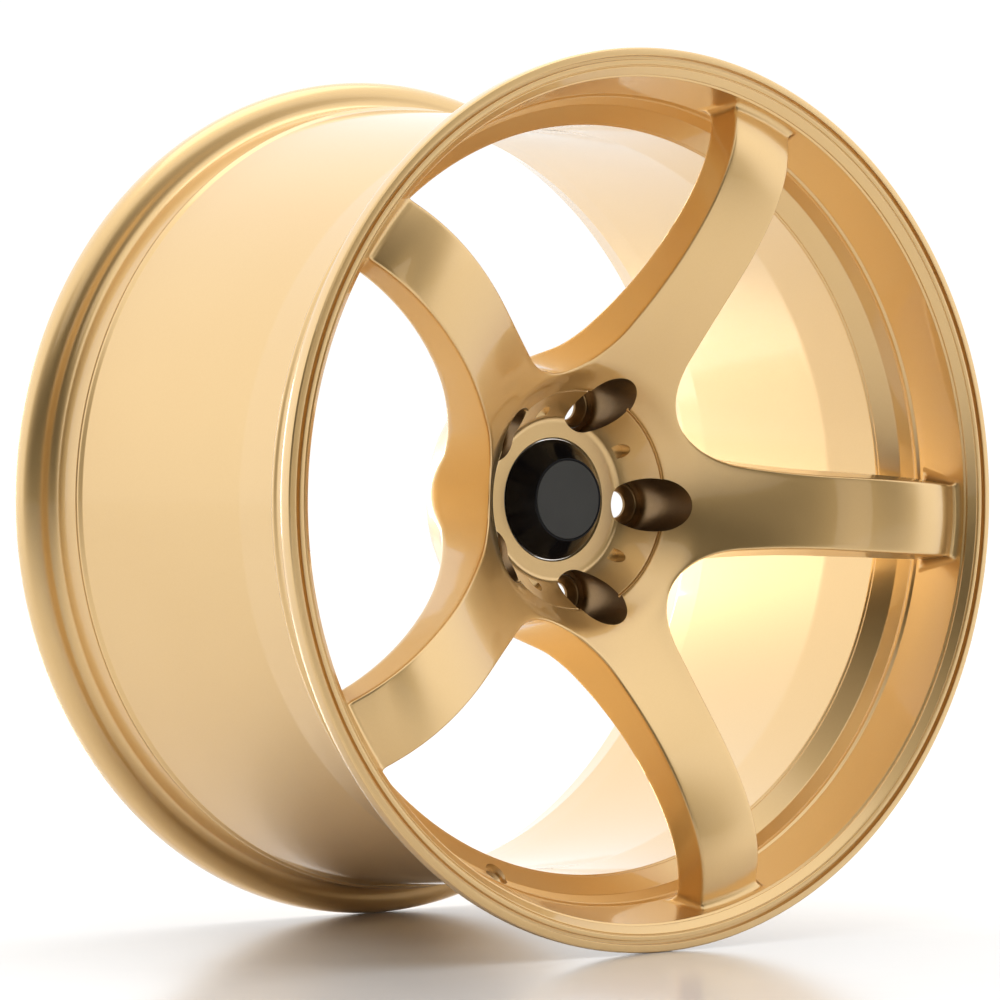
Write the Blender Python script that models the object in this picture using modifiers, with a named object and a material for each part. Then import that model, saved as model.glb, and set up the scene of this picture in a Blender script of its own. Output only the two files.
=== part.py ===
"""Forged five-spoke racing wheel rim, 19 x 10 J, with its bolt seats and centre cap.

World frame: metres, +Z up, the wheel's axis along Y, its face towards -Y, origin at the wheel's centre.
Everything is modelled in wheel space (X and Y across the wheel, Z forwards along the axis) and turned
upright by one parent empty. Depths are measured backwards from the front flange's crest.
"""
from math import cos, pi, radians, sin, sqrt, tan, tau

import bmesh
import bpy
from mathutils import Matrix, Vector

MM = 0.001

# ---- Driving dimensions, in millimetres ---------------------------------------------------------------
SEAT_RADIUS = 243.7            # 19 inch, 5 degree bead seat
FLANGE_HEIGHT = 17.3           # J flange
FLANGE_RADIUS = SEAT_RADIUS + FLANGE_HEIGHT
CREST_SPACING = 277.0          # between the crests of the two flanges
CREST_ARC = 11.5               # radius of the flange's tyre side
ROOT_ARC = 6.5                 # radius where the flange meets its seat
LIP_OVERHANG = 5.5             # how far the flange's outer face stands beyond its crest
WALL = 6.0                     # barrel wall
WELL_RADIUS = 226.0            # drop centre, tyre side
TURN_SEGMENTS = 60             # facets round the rim; a spoke is centred on a corner
WHEEL_TURN = radians(-3.0)     # roll of the spokes; it leaves a flat facet underneath
SPOKES = 5
GAP = 0.3                      # clearance between neighbouring solids

HUB_REAR = 115.7               # depth of the mounting face
BOLT_CIRCLE_RADIUS = 60.0      # 5 x 120
POCKET_RADIUS = 16.0
POCKET_FLOOR = 107.7
SLEEVE_RADIUS = 13.0
SEAT_MOUTH_RADIUS = 11.5
BOLT_HOLE_RADIUS = 8.0
BORE_RADIUS = 36.3             # 72.6 mm spigot bore
COLLAR_RADIUS = 46.4
COLLAR_DEPTH = 96.5
STEP_RADIUS = 65.0
STEP_DEPTH = 70.5
HUB_FRONT_RADIUS = 78.0
HUB_FRONT_DEPTH = 56.6
HUB_REAR_RADIUS = 87.2
DIMPLE_RADIUS = 4.3
DIMPLE_CIRCLE_RADIUS = 53.0
DIMPLE_FLOOR = 96.0

# Side view of a spoke: Bezier handles as (distance from the axis, depth)
SPOKE_FRONT = ((68, 64.3), (215.5, -53.8), (241.3, 21.1), (250, 7.1))
SPOKE_REAR = ((82, 109.1), (84, 78.6), (198.5, -25.1), (250, 38.8))
SPOKE_STATIONS = 15
SPOKE_START = 74.0
SPOKE_HALF_WIDTH = 21.9
TAPER_START = 150.0            # the spokes widen towards the hub from here
TAPER_GAIN = 2.7
CORNER = (105.4, 76.6)         # centre of the window's round corner, along and beside the spoke
CORNER_RADIUS = 52.0
DRAFT = tan(radians(9.5))      # the spokes and the hub widen towards the rear

VALVE_ANGLE = radians(252.0)   # in the middle of a window
VALVE_RADIUS = 5.75
VALVE_LEAN = radians(-49.0)    # the hole is square to the wall it goes through
VALVE_PLACE = (231.0, 45.0)    # distance from the axis, depth

CAP_BASE_RADIUS = 35.8
CAP_TOP_RADIUS = 24.6
CAP_TOP = 82.4
CAP_REAR = 104.4
CAP_SKIRT_RADIUS = 34.6
CAP_WALL = 2.4
EMBLEM_RADIUS = 23.3
SPRING_WIRE_RADIUS = 0.9
SPRING_DEPTH = 101.2
CAP_SEGMENTS = 40
HOLE_SEGMENTS = 24

GOLD = (0.62, 0.42, 0.17)
SEAT_BROWN = (0.20, 0.12, 0.05)
GLOSS_BLACK = (0.012, 0.012, 0.013)
CHARCOAL = (0.045, 0.045, 0.04)
STEEL = (0.55, 0.55, 0.56)


# ---- Helpers ------------------------------------------------------------------------------------------
def forward(depth):
    """Wheel-space Z of a depth behind the front crest."""
    return CREST_SPACING / 2 - depth


def arc(centre, radius, start, end, steps):
    """Points (depth, radius) along an arc; angles in degrees, 0 towards the rear, 90 away from the axis."""
    turns = [radians(start + (end - start) * step / steps) for step in range(steps + 1)]
    return [(centre[0] + radius * cos(turn), centre[1] + radius * sin(turn)) for turn in turns]


def mirrored(points):
    """The same points on the rear half of the rim, listed from front to rear."""
    return [(CREST_SPACING - depth, radius) for depth, radius in reversed(points)]


def bezier(handles, t):
    weights = ((1 - t) ** 3, 3 * t * (1 - t) ** 2, 3 * t * t * (1 - t), t ** 3)
    return tuple(sum(weight * handle[axis] for weight, handle in zip(weights, handles)) for axis in (0, 1))


def height_at(handles, distance):
    """Depth of a Bezier side view at a distance from the axis, by bisection."""
    low, high = 0.0, 1.0
    for _ in range(40):
        middle = (low + high) / 2
        if bezier(handles, middle)[0] < distance:
            low = middle
        else:
            high = middle
    return bezier(handles, low)[1]


def interpolate(points, depth):
    """Radius of a profile at a depth."""
    for (depth_a, radius_a), (depth_b, radius_b) in zip(points, points[1:]):
        if depth_a <= depth <= depth_b and depth_b > depth_a:
            return radius_a + (radius_b - radius_a) * (depth - depth_a) / (depth_b - depth_a)
    raise ValueError(f"depth {depth} is outside the profile")


def between(points, start, end):
    """The stretch of a profile between two depths, with its cut ends."""
    inside = [point for point in points if start < point[0] < end]
    return [(start, interpolate(points, start)), *inside, (end, interpolate(points, end))]


def material(name, colour, roughness, metallic):
    made = bpy.data.materials.new(name)
    made.use_nodes = True
    shader = made.node_tree.nodes["Principled BSDF"]
    shader.inputs["Base Color"].default_value = (*colour, 1.0)
    shader.inputs["Roughness"].default_value = roughness
    shader.inputs["Metallic"].default_value = metallic
    return made


def collection(name):
    made = bpy.data.collections.new(name)
    bpy.context.scene.collection.children.link(made)
    return made


def place(name, mesh, home, parent, finish=None):
    made = bpy.data.objects.new(name, mesh)
    home.objects.link(made)
    made.parent = parent
    if finish:
        mesh.materials.append(finish)
    return made


def as_cutter(obj):
    obj.hide_render = True
    obj.display_type = "WIRE"
    return obj


def cut(obj, cutter):
    modifier = obj.modifiers.new(f"cut {cutter.name}", "BOOLEAN")
    modifier.operation = "DIFFERENCE"
    modifier.solver = "EXACT"
    modifier.object = cutter
    return modifier


def turned(name, outline, home, parent, finish=None, segments=TURN_SEGMENTS):
    """A closed outline of (depth, radius) points turned about the axis; its outer side runs front to rear."""
    mesh = bpy.data.meshes.new(name)
    corners = [(radius * MM, 0.0, forward(depth) * MM) for depth, radius in outline]
    edges = [(index, (index + 1) % len(corners)) for index in range(len(corners))]
    mesh.from_pydata(corners, edges, [])
    made = place(name, mesh, home, parent, finish)
    screw = made.modifiers.new("turn", "SCREW")
    screw.axis = "Z"
    screw.angle = tau
    screw.steps = segments
    screw.render_steps = segments
    screw.use_merge_vertices = True
    screw.merge_threshold = 0.00001
    return made


def peg(name, radius, front, rear, distance, angle, home, parent, segments=HOLE_SEGMENTS):
    """A cylinder along the axis between two depths, at a distance and angle from the wheel's centre."""
    mesh = bpy.data.meshes.new(name)
    shape = bmesh.new()
    bmesh.ops.create_cone(shape, cap_ends=True, segments=segments, radius1=radius * MM,
                          radius2=radius * MM, depth=(rear - front) * MM)
    middle = forward((front + rear) / 2)
    spot = Vector((distance * cos(angle), distance * sin(angle), middle)) * MM
    bmesh.ops.transform(shape, matrix=Matrix.Translation(spot), verts=shape.verts)
    shape.to_mesh(mesh)
    shape.free()
    return place(name, mesh, home, parent)


# ---- The rim's cross-section --------------------------------------------------------------------------
def tyre_side():
    """Outer profile of the rim, front to rear, from one lip's outer face to the other's."""
    crest = (0.0, FLANGE_RADIUS)
    curl = [(-LIP_OVERHANG, FLANGE_RADIUS - 5.0), (-LIP_OVERHANG + 0.8, FLANGE_RADIUS - 2.2), (-2.6, FLANGE_RADIUS - 0.5)]
    tyre_face = arc((0.0, FLANGE_RADIUS - CREST_ARC), CREST_ARC, 90, 5, 4)[1:]
    root_centre = (CREST_ARC + ROOT_ARC, SEAT_RADIUS + ROOT_ARC)
    root = arc(root_centre, ROOT_ARC, 190, 270, 3)
    seat_end = SEAT_RADIUS - 1.4
    seat = [(33.0, seat_end), (36.5, seat_end + 1.0), (40.0, seat_end - 0.6)]
    front = [*curl, crest, *tyre_face, *root, *seat]
    well = [(55.0, WELL_RADIUS + 0.4), (60.0, WELL_RADIUS), (95.0, WELL_RADIUS)]
    return [*front, *well, *mirrored(front)]


def wheel_side():
    """Inner profile of the rim, front to rear."""
    well = WELL_RADIUS - WALL
    front = [(-LIP_OVERHANG, FLANGE_RADIUS - 11.0), (-1.0, FLANGE_RADIUS - 16.0), (34.0, 236.3)]
    barrel = [(52.0, well + 0.6), (58.0, well), (97.0, well), (232.0, 234.0)]
    rear = [(256.0, 237.0), (278.0, FLANGE_RADIUS - 16.0), (CREST_SPACING + LIP_OVERHANG, FLANGE_RADIUS - 11.0)]
    return [*front, *barrel, *rear]


RIM_PARTS = (
    ("front_flange", -LIP_OVERHANG, 18.0),
    ("front_bead_seat", 18.3, 41.7),
    ("drop_centre", 42.0, 97.0),
    ("barrel", 97.3, 236.0),
    ("rear_bead_seat", 236.3, 258.7),
    ("rear_flange", 259.0, CREST_SPACING + LIP_OVERHANG),
)


def rim(home, cutters, parent, finish):
    """The six rings of the rim, and the cutter that keeps the spokes' ends clear of them."""
    stretch = 1.0 / cos(pi / TURN_SEGMENTS)
    outer = [(depth, radius * stretch) for depth, radius in tyre_side()]
    inner = wheel_side()
    rings = {}
    for name, start, end in RIM_PARTS:
        outline = between(outer, start, end) + between(inner, start, end)[::-1]
        rings[name] = turned(name, outline, home, parent, finish)
    clear = [(depth, radius - GAP) for depth, radius in inner]
    outside = FLANGE_RADIUS + 40.0
    envelope = [(clear[0][0] - 20.0, outside), (clear[-1][0], outside), *reversed(clear),
                (clear[0][0] - 20.0, clear[0][1])]
    clearance = as_cutter(turned("rim_clearance", envelope, cutters, parent))
    valve = as_cutter(valve_drill(cutters, parent))
    cut(rings["drop_centre"], valve)
    cut(rings["front_bead_seat"], valve)
    return clearance


def valve_drill(cutters, parent):
    distance, depth = VALVE_PLACE
    mesh = bpy.data.meshes.new("valve_drill")
    shape = bmesh.new()
    bmesh.ops.create_cone(shape, cap_ends=True, segments=HOLE_SEGMENTS, radius1=VALVE_RADIUS * MM,
                          radius2=VALVE_RADIUS * MM, depth=40 * MM)
    lean = Matrix.Rotation(VALVE_LEAN, 4, "Y")
    spot = Matrix.Translation(Vector((distance, 0.0, forward(depth))) * MM)
    swing = Matrix.Rotation(VALVE_ANGLE, 4, "Z")
    bmesh.ops.transform(shape, matrix=swing @ spot @ lean, verts=shape.verts)
    shape.to_mesh(mesh)
    shape.free()
    return place("valve_drill", mesh, cutters, parent)


# ---- The centre ---------------------------------------------------------------------------------------
def hub_outline(grow=0.0):
    """Hub cross-section; grow swells its outside, for the cutter that clears the spokes."""
    wall = [(HUB_FRONT_DEPTH - grow, HUB_FRONT_RADIUS + grow), (HUB_REAR - 4.0, HUB_REAR_RADIUS + grow),
            (HUB_REAR + grow, HUB_REAR_RADIUS - 4.0 + grow)]
    if grow:
        return [*wall, (HUB_REAR + grow, 10.0), (HUB_FRONT_DEPTH - 20.0, 10.0)]
    bore = [(HUB_REAR, BORE_RADIUS), (COLLAR_DEPTH + 1.0, BORE_RADIUS), (COLLAR_DEPTH, BORE_RADIUS + 0.9)]
    bowl = [(COLLAR_DEPTH, COLLAR_RADIUS), (COLLAR_DEPTH + 1.5, COLLAR_RADIUS + 0.8),
            (STEP_DEPTH + 2.8, STEP_RADIUS - 0.4), (STEP_DEPTH, STEP_RADIUS)]
    return [*wall, *bore, *bowl]


def hub(home, cutters, parent, finish):
    """The hub with its bowl, bolt pockets, sleeve holes and dimples."""
    body = turned("hub", hub_outline(), home, parent, finish)
    for index in range(SPOKES):
        angle = tau * index / SPOKES
        pocket = peg(f"pocket_drill_{index + 1}", POCKET_RADIUS, 0.0, POCKET_FLOOR, BOLT_CIRCLE_RADIUS, angle,
                     cutters, parent)
        sleeve = peg(f"sleeve_drill_{index + 1}", SLEEVE_RADIUS + GAP, 90.0, HUB_REAR + 10.0, BOLT_CIRCLE_RADIUS,
                     angle, cutters, parent)
        dimple = peg(f"dimple_drill_{index + 1}", DIMPLE_RADIUS, 60.0, DIMPLE_FLOOR, DIMPLE_CIRCLE_RADIUS,
                     angle + pi / SPOKES, cutters, parent, 12)
        for drill in (pocket, sleeve, dimple):
            cut(body, as_cutter(drill))


def bolt_seats(home, parent, finish):
    """One tapered sleeve at the bottom of each pocket."""
    front, rear = POCKET_FLOOR - 0.5, HUB_REAR - 0.3
    outline = [(front, SLEEVE_RADIUS), (rear, SLEEVE_RADIUS), (rear, BOLT_HOLE_RADIUS),
               (front + 6.0, BOLT_HOLE_RADIUS), (front, SEAT_MOUTH_RADIUS)]
    for index in range(SPOKES):
        angle = tau * index / SPOKES
        sleeve = turned(f"bolt_seat_{index + 1}", outline, home, parent, finish, HOLE_SEGMENTS)
        sleeve.location = Vector((cos(angle), sin(angle), 0.0)) * BOLT_CIRCLE_RADIUS * MM


def half_width(distance):
    """Half the width of a spoke's face: the window's round corner near the hub, then a slight taper."""
    if distance < CORNER[0]:
        return CORNER[1] - sqrt(CORNER_RADIUS ** 2 - (CORNER[0] - distance) ** 2)
    taper = max(0.0, TAPER_START - distance) / (TAPER_START - CORNER[0])
    return SPOKE_HALF_WIDTH + TAPER_GAIN * taper ** 2


def spoke_mesh(name):
    """A spoke along +X: a loft of trapezoid sections between its front and rear side views."""
    shape = bmesh.new()
    rows = []
    end = SPOKE_FRONT[-1][0]
    for step in range(SPOKE_STATIONS):
        distance = SPOKE_START + (end - SPOKE_START) * step / (SPOKE_STATIONS - 1)
        front = forward(height_at(SPOKE_FRONT, distance))
        rear_distance = max(distance, SPOKE_REAR[0][0])
        rear = forward(height_at(SPOKE_REAR, rear_distance))
        half_front = half_width(distance)
        half_rear = half_front + DRAFT * (front - rear)
        section = ((-half_front, front), (half_front, front), (half_rear, rear), (-half_rear, rear))
        rows.append([shape.verts.new(Vector((distance, side, level)) * MM) for side, level in section])
    for first, second in zip(rows, rows[1:]):
        for corner in range(4):
            following = (corner + 1) % 4
            shape.faces.new((first[corner], first[following], second[following], second[corner]))
    shape.faces.new(rows[0][::-1])
    shape.faces.new(rows[-1])
    bmesh.ops.recalc_face_normals(shape, faces=shape.faces)
    mesh = bpy.data.meshes.new(name)
    shape.to_mesh(mesh)
    shape.free()
    return mesh


def spokes(home, parent, finish, cutters, rim_clearance):
    hub_clearance = as_cutter(turned("hub_clearance", hub_outline(GAP), cutters, parent))
    mesh = spoke_mesh("spoke")
    mesh.materials.append(finish)
    for index in range(SPOKES):
        arm = place(f"spoke_{index + 1}", mesh, home, parent)
        arm.rotation_euler = (0.0, 0.0, tau * index / SPOKES)
        cut(arm, rim_clearance)
        cut(arm, hub_clearance)


def centre_cap(home, parent, black, charcoal, steel):
    """The cap: a black truncated cone with a skirt, its emblem disc and its spring ring."""
    cap = bpy.data.objects.new("cap_axis", None)
    home.objects.link(cap)
    cap.parent = parent
    skirt_front = CAP_TOP + 15.8
    groove_front, groove_rear = SPRING_DEPTH - 1.6, SPRING_DEPTH + 1.6
    groove = CAP_SKIRT_RADIUS - 1.4
    outside = [(CAP_TOP, CAP_TOP_RADIUS), (COLLAR_DEPTH, CAP_BASE_RADIUS), (skirt_front, CAP_BASE_RADIUS),
               (skirt_front, CAP_SKIRT_RADIUS), (groove_front, CAP_SKIRT_RADIUS), (groove_front, groove),
               (groove_rear, groove), (groove_rear, CAP_SKIRT_RADIUS), (CAP_REAR, CAP_SKIRT_RADIUS - 0.6)]
    inside = [(CAP_REAR, groove - CAP_WALL), (COLLAR_DEPTH + 1.0, groove - CAP_WALL),
              (CAP_TOP + 4.6, CAP_TOP_RADIUS - 2.4), (CAP_TOP + 4.6, 0.0)]
    recess = [(CAP_TOP + 1.6, 0.0), (CAP_TOP + 1.6, EMBLEM_RADIUS + GAP), (CAP_TOP, EMBLEM_RADIUS + GAP)]
    turned("cap_body", outside + inside + recess, home, cap, black, CAP_SEGMENTS)
    top, bottom = CAP_TOP - 0.2, CAP_TOP + 1.3
    emblem = [(top, EMBLEM_RADIUS - 0.3), (top + 0.3, EMBLEM_RADIUS), (bottom, EMBLEM_RADIUS), (bottom, 0.0),
              (top, 0.0)]
    turned("cap_emblem", emblem, home, cap, charcoal, CAP_SEGMENTS)
    wire = [(SPRING_DEPTH + SPRING_WIRE_RADIUS * sin(tau * step / 8),
             CAP_SKIRT_RADIUS - 0.2 + SPRING_WIRE_RADIUS * cos(tau * step / 8)) for step in range(8)]
    turned("cap_spring_ring", wire, home, cap, steel, CAP_SEGMENTS)


def main():
    for old in list(bpy.data.objects):
        bpy.data.objects.remove(old, do_unlink=True)
    home, cutters = collection("forged_wheel_rim"), collection("cutters")
    upright = bpy.data.objects.new("wheel_axis", None)
    home.objects.link(upright)
    upright.matrix_world = Matrix.Rotation(pi / 2, 4, "X") @ Matrix.Rotation(WHEEL_TURN, 4, "Z")

    gold = material("gold_lacquer", GOLD, 0.28, 0.9)
    brown = material("seat_alloy", SEAT_BROWN, 0.4, 0.9)
    black = material("gloss_black", GLOSS_BLACK, 0.12, 0.0)
    charcoal = material("charcoal", CHARCOAL, 0.5, 0.0)
    steel = material("spring_steel", STEEL, 0.3, 1.0)

    rim_clearance = rim(home, cutters, upright, gold)
    hub(home, cutters, upright, gold)
    bolt_seats(home, upright, brown)
    spokes(home, upright, gold, cutters, rim_clearance)
    centre_cap(home, upright, black, charcoal, steel)


main()
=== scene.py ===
"""Visual model of the forged five-spoke racing wheel rim: rim skin, centre, bolt seats and centre cap."""
from math import atan2, cos, hypot, pi, radians, sin, sqrt, tan, tau

import bmesh
import bpy
from bpy.props import FloatProperty, FloatVectorProperty, IntProperty, PointerProperty
from mathutils import Euler, Matrix, Vector


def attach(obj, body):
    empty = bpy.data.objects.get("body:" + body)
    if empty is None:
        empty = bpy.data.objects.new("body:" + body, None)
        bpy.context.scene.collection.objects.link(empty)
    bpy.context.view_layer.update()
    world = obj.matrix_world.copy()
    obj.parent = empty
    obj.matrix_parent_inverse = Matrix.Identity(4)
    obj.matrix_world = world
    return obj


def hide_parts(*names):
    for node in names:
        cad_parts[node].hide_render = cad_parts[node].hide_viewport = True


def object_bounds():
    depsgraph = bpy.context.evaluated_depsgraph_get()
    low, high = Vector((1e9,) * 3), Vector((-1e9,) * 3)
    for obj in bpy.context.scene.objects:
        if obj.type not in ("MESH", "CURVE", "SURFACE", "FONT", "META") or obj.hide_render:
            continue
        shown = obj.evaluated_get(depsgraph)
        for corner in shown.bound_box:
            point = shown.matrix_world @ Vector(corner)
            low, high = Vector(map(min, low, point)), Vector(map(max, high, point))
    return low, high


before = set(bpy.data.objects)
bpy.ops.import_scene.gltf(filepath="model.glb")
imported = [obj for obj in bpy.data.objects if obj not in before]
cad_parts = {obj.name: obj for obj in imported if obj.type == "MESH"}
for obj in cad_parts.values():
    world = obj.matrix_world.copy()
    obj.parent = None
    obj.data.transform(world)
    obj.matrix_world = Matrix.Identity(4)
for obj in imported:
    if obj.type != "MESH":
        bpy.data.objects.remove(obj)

bl_info = {
    "name": "Forged Wheel Rim",
    "version": (1, 0, 0),
    "blender": (4, 5, 0),
    "location": "3D View > Sidebar > Wheel Rim",
    "description": "Builds the visible skin of a forged five-spoke racing rim over its CAD frame",
    "category": "Object",
}

CAD_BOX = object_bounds()
MM = 0.001
CREST_SPACING = 277.0
MIDDLE = CREST_SPACING / 2        # depth of the wheel's middle plane behind the front crest
WHEEL_TURN = radians(-3.0)        # roll of the spokes
RIM_NODES = ("front_flange", "front_bead_seat", "drop_centre", "barrel", "rear_bead_seat", "rear_flange")
CENTRE_NODES = ("hub", "spoke_1", "spoke_2", "spoke_3", "spoke_4", "spoke_5")
GUARD = 0.4                       # millimetres from an eased corner to its extra point
LONGEST_EASE = 0.48               # share of a side that one eased corner may take
SEAT_NODES = ("bolt_seat_1", "bolt_seat_2", "bolt_seat_3", "bolt_seat_4", "bolt_seat_5")


# ---- Settings -----------------------------------------------------------------------------------------
def size(label, text, metres):
    return FloatProperty(name=label, description=text, default=metres, unit="LENGTH")


def tint(label, text, colour):
    return FloatVectorProperty(name=label, description=text, default=colour, subtype="COLOR", size=3,
                               min=0.0, max=1.0)


class RimSettings(bpy.types.PropertyGroup):
    flange_radius: size("Flange Radius", "Crest of the flanges", 0.261)
    well_radius: size("Well Radius", "Inner side of the drop centre", 0.220)
    turn_segments: IntProperty(name="Turn Segments", description="Facets round the rim", default=320, min=48)
    valve_radius: size("Valve Hole Radius", "Radius of the valve's hole", 0.00575)
    valve_seat_radius: size("Valve Seat Radius", "Counterbore round the valve's hole", 0.0078)


class CentreSettings(bpy.types.PropertyGroup):
    spokes: IntProperty(name="Spokes", description="Number of spokes and bolt seats", default=5, min=5, max=5)
    corner_radius: size("Window Corner", "Radius of a window's corner beside the hub", 0.052)
    half_width: size("Spoke Half Width", "Half the width of a spoke's face", 0.0219)
    draft: FloatProperty(name="Draft", description="Slope of the windows' walls", default=radians(9.5),
                         subtype="ANGLE")
    edge: size("Front Edge", "Size of the rounding round a window's front", 0.0015)
    crown: size("Crown", "How far a spoke's face falls away at its edges", 0.0008)
    pocket_radius: size("Pocket Radius", "Radius of the bolt pockets", 0.016)
    bolt_circle: size("Bolt Circle", "Radius of the circle of bolts", 0.060)


class CapSettings(bpy.types.PropertyGroup):
    base_radius: size("Base Radius", "Widest part of the cap", 0.0358)
    top_radius: size("Top Radius", "Front edge of the cap's cone", 0.0246)
    disc_radius: size("Disc Radius", "Plain disc in the cap's front", 0.0233)


class FinishSettings(bpy.types.PropertyGroup):
    gold: tint("Gold", "Lacquered alloy in full light", (0.80, 0.545, 0.235))
    deep_gold: tint("Deep Gold", "Lacquered alloy where the coat is thickest", (0.70, 0.43, 0.15))
    # Painted shade: dark brown stands for the shade inside the bolt pockets and sleeve holes.
    pocket_shade_brown: tint("Pocket Brown", "Lacquer inside the bolt pockets", (0.36, 0.225, 0.10))
    # Painted shade: the seats' own gold, darkened to brown for the shade at the bottom of the bolt pockets.
    seat_shade_brown: tint("Seat Brown", "Bare alloy of the bolt seats", (0.30, 0.19, 0.085))
    cap_black: tint("Cap Black", "Gloss black of the cap", (0.006, 0.006, 0.007))
    disc_charcoal: tint("Disc Charcoal", "Colour of the cap's disc", (0.036, 0.036, 0.033))
    spring_steel: tint("Spring Steel", "Colour of the cap's spring ring", (0.55, 0.55, 0.56))


class StudioSettings(bpy.types.PropertyGroup):
    floor_colour: tint("Floor Colour", "Pale glossy floor", (0.86, 0.85, 0.84))
    sky: FloatProperty(name="Surround Light", description="Strength of the white surround", default=1.22,
                       min=0.0)
    lens: FloatProperty(name="Lens", description="Focal length on a 36 mm sensor, in millimetres",
                        default=153.28, min=10.0)


# ---- Geometry helpers ---------------------------------------------------------------------------------
def on_wheel(radius, angle, depth):
    """World place of a point of the wheel, from its distance and depth in millimetres and its angle."""
    turn = angle + WHEEL_TURN
    return (radius * cos(turn) * MM, (depth - MIDDLE) * MM, radius * sin(turn) * MM)


def rounded(corners, steps=4):
    """An outline of (depth, radius) points whose corners (depth, radius, rounding) are eased by short curves.

    A point just beyond each curve keeps the long faces beside it looking flat.
    """
    points = []
    count = len(corners)
    for index, (depth, radius, ease) in enumerate(corners):
        here = Vector((depth, radius))
        before = Vector(corners[index - 1][:2]) - here
        after = Vector(corners[(index + 1) % count][:2]) - here
        if ease <= 0.0 or before.length < 1e-6 or after.length < 1e-6:
            points.append((depth, radius))
            continue
        half = before.angle(after) / 2
        reach = min(ease / max(tan(half), 0.05), LONGEST_EASE * before.length, LONGEST_EASE * after.length)
        start, end = here + before.normalized() * reach, here + after.normalized() * reach
        if before.length * LONGEST_EASE - reach > GUARD:
            points.append(tuple(start + before.normalized() * GUARD))
        for step in range(steps + 1):
            t = step / steps
            spot = start * (1 - t) ** 2 + here * (2 * t * (1 - t)) + end * t ** 2
            points.append((spot.x, spot.y))
        if after.length * LONGEST_EASE - reach > GUARD:
            points.append(tuple(end + after.normalized() * GUARD))
    return points


def bezier(handles, t):
    """Point of a cubic curve through the first and the last of its four handles."""
    weights = ((1 - t) ** 3, 3 * t * (1 - t) ** 2, 3 * t * t * (1 - t), t ** 3)
    return [sum(weight * handle[axis] for weight, handle in zip(weights, handles)) for axis in (0, 1)]


def along(handles, distance):
    """Depth of a side view at a distance from the axis."""
    low, high = 0.0, 1.0
    for _ in range(36):
        middle = (low + high) / 2
        if bezier(handles, middle)[0] < distance:
            low = middle
        else:
            high = middle
    return bezier(handles, low)[1]


def smooth(value):
    """Eases 0 to 1 with a level start and end."""
    value = min(max(value, 0.0), 1.0)
    return value * value * (3 - 2 * value)


def new_tree(name, inputs):
    """An empty Geometry Nodes tree with named inputs, its input and output nodes."""
    tree = bpy.data.node_groups.new(name, "GeometryNodeTree")
    tree.interface.new_socket("Geometry", in_out="INPUT", socket_type="NodeSocketGeometry")
    for label, kind in inputs:
        tree.interface.new_socket(label, in_out="INPUT", socket_type=kind)
    tree.interface.new_socket("Geometry", in_out="OUTPUT", socket_type="NodeSocketGeometry")
    return tree, tree.nodes.new("NodeGroupInput"), tree.nodes.new("NodeGroupOutput")


def add_lathe(tree, source, segments):
    """Turns a profile about the wheel's axis: X is the radius less one metre, Y the place on the axis."""
    nodes, link = tree.nodes, tree.links.new
    outline = nodes.new("GeometryNodeMeshToCurve")
    path = nodes.new("GeometryNodeCurvePrimitiveCircle")
    sweep = nodes.new("GeometryNodeCurveToMesh")
    weld = nodes.new("GeometryNodeMergeByDistance")
    lay = nodes.new("GeometryNodeTransform")
    path.inputs["Radius"].default_value = 1.0
    weld.inputs["Distance"].default_value = 0.000004
    lay.inputs["Rotation"].default_value = (pi / 2, 0.0, 0.0)
    link(source, outline.inputs["Mesh"])
    link(segments, path.inputs["Resolution"])
    link(path.outputs["Curve"], sweep.inputs["Curve"])
    link(outline.outputs["Curve"], sweep.inputs["Profile Curve"])
    link(sweep.outputs["Mesh"], weld.inputs["Geometry"])
    link(weld.outputs["Geometry"], lay.inputs["Geometry"])
    return lay.outputs["Geometry"]


def finish_tree(tree, source, group_in, group_out):
    """Ends a tree with real geometry in one material."""
    realize = tree.nodes.new("GeometryNodeRealizeInstances")
    paint = tree.nodes.new("GeometryNodeSetMaterial")
    tree.links.new(source, realize.inputs["Geometry"])
    tree.links.new(realize.outputs["Geometry"], paint.inputs["Geometry"])
    tree.links.new(group_in.outputs["Material"], paint.inputs["Material"])
    tree.links.new(paint.outputs["Geometry"], group_out.inputs["Geometry"])


def turning_tree():
    """Geometry Nodes tree that turns one profile about the wheel's axis."""
    known = bpy.data.node_groups.get("turned_profile")
    if known:
        return known
    tree, group_in, group_out = new_tree("turned_profile", (("Segments", "NodeSocketInt"),
                                                            ("Material", "NodeSocketMaterial")))
    source = add_lathe(tree, group_in.outputs["Geometry"], group_in.outputs["Segments"])
    finish_tree(tree, source, group_in, group_out)
    return tree


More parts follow.
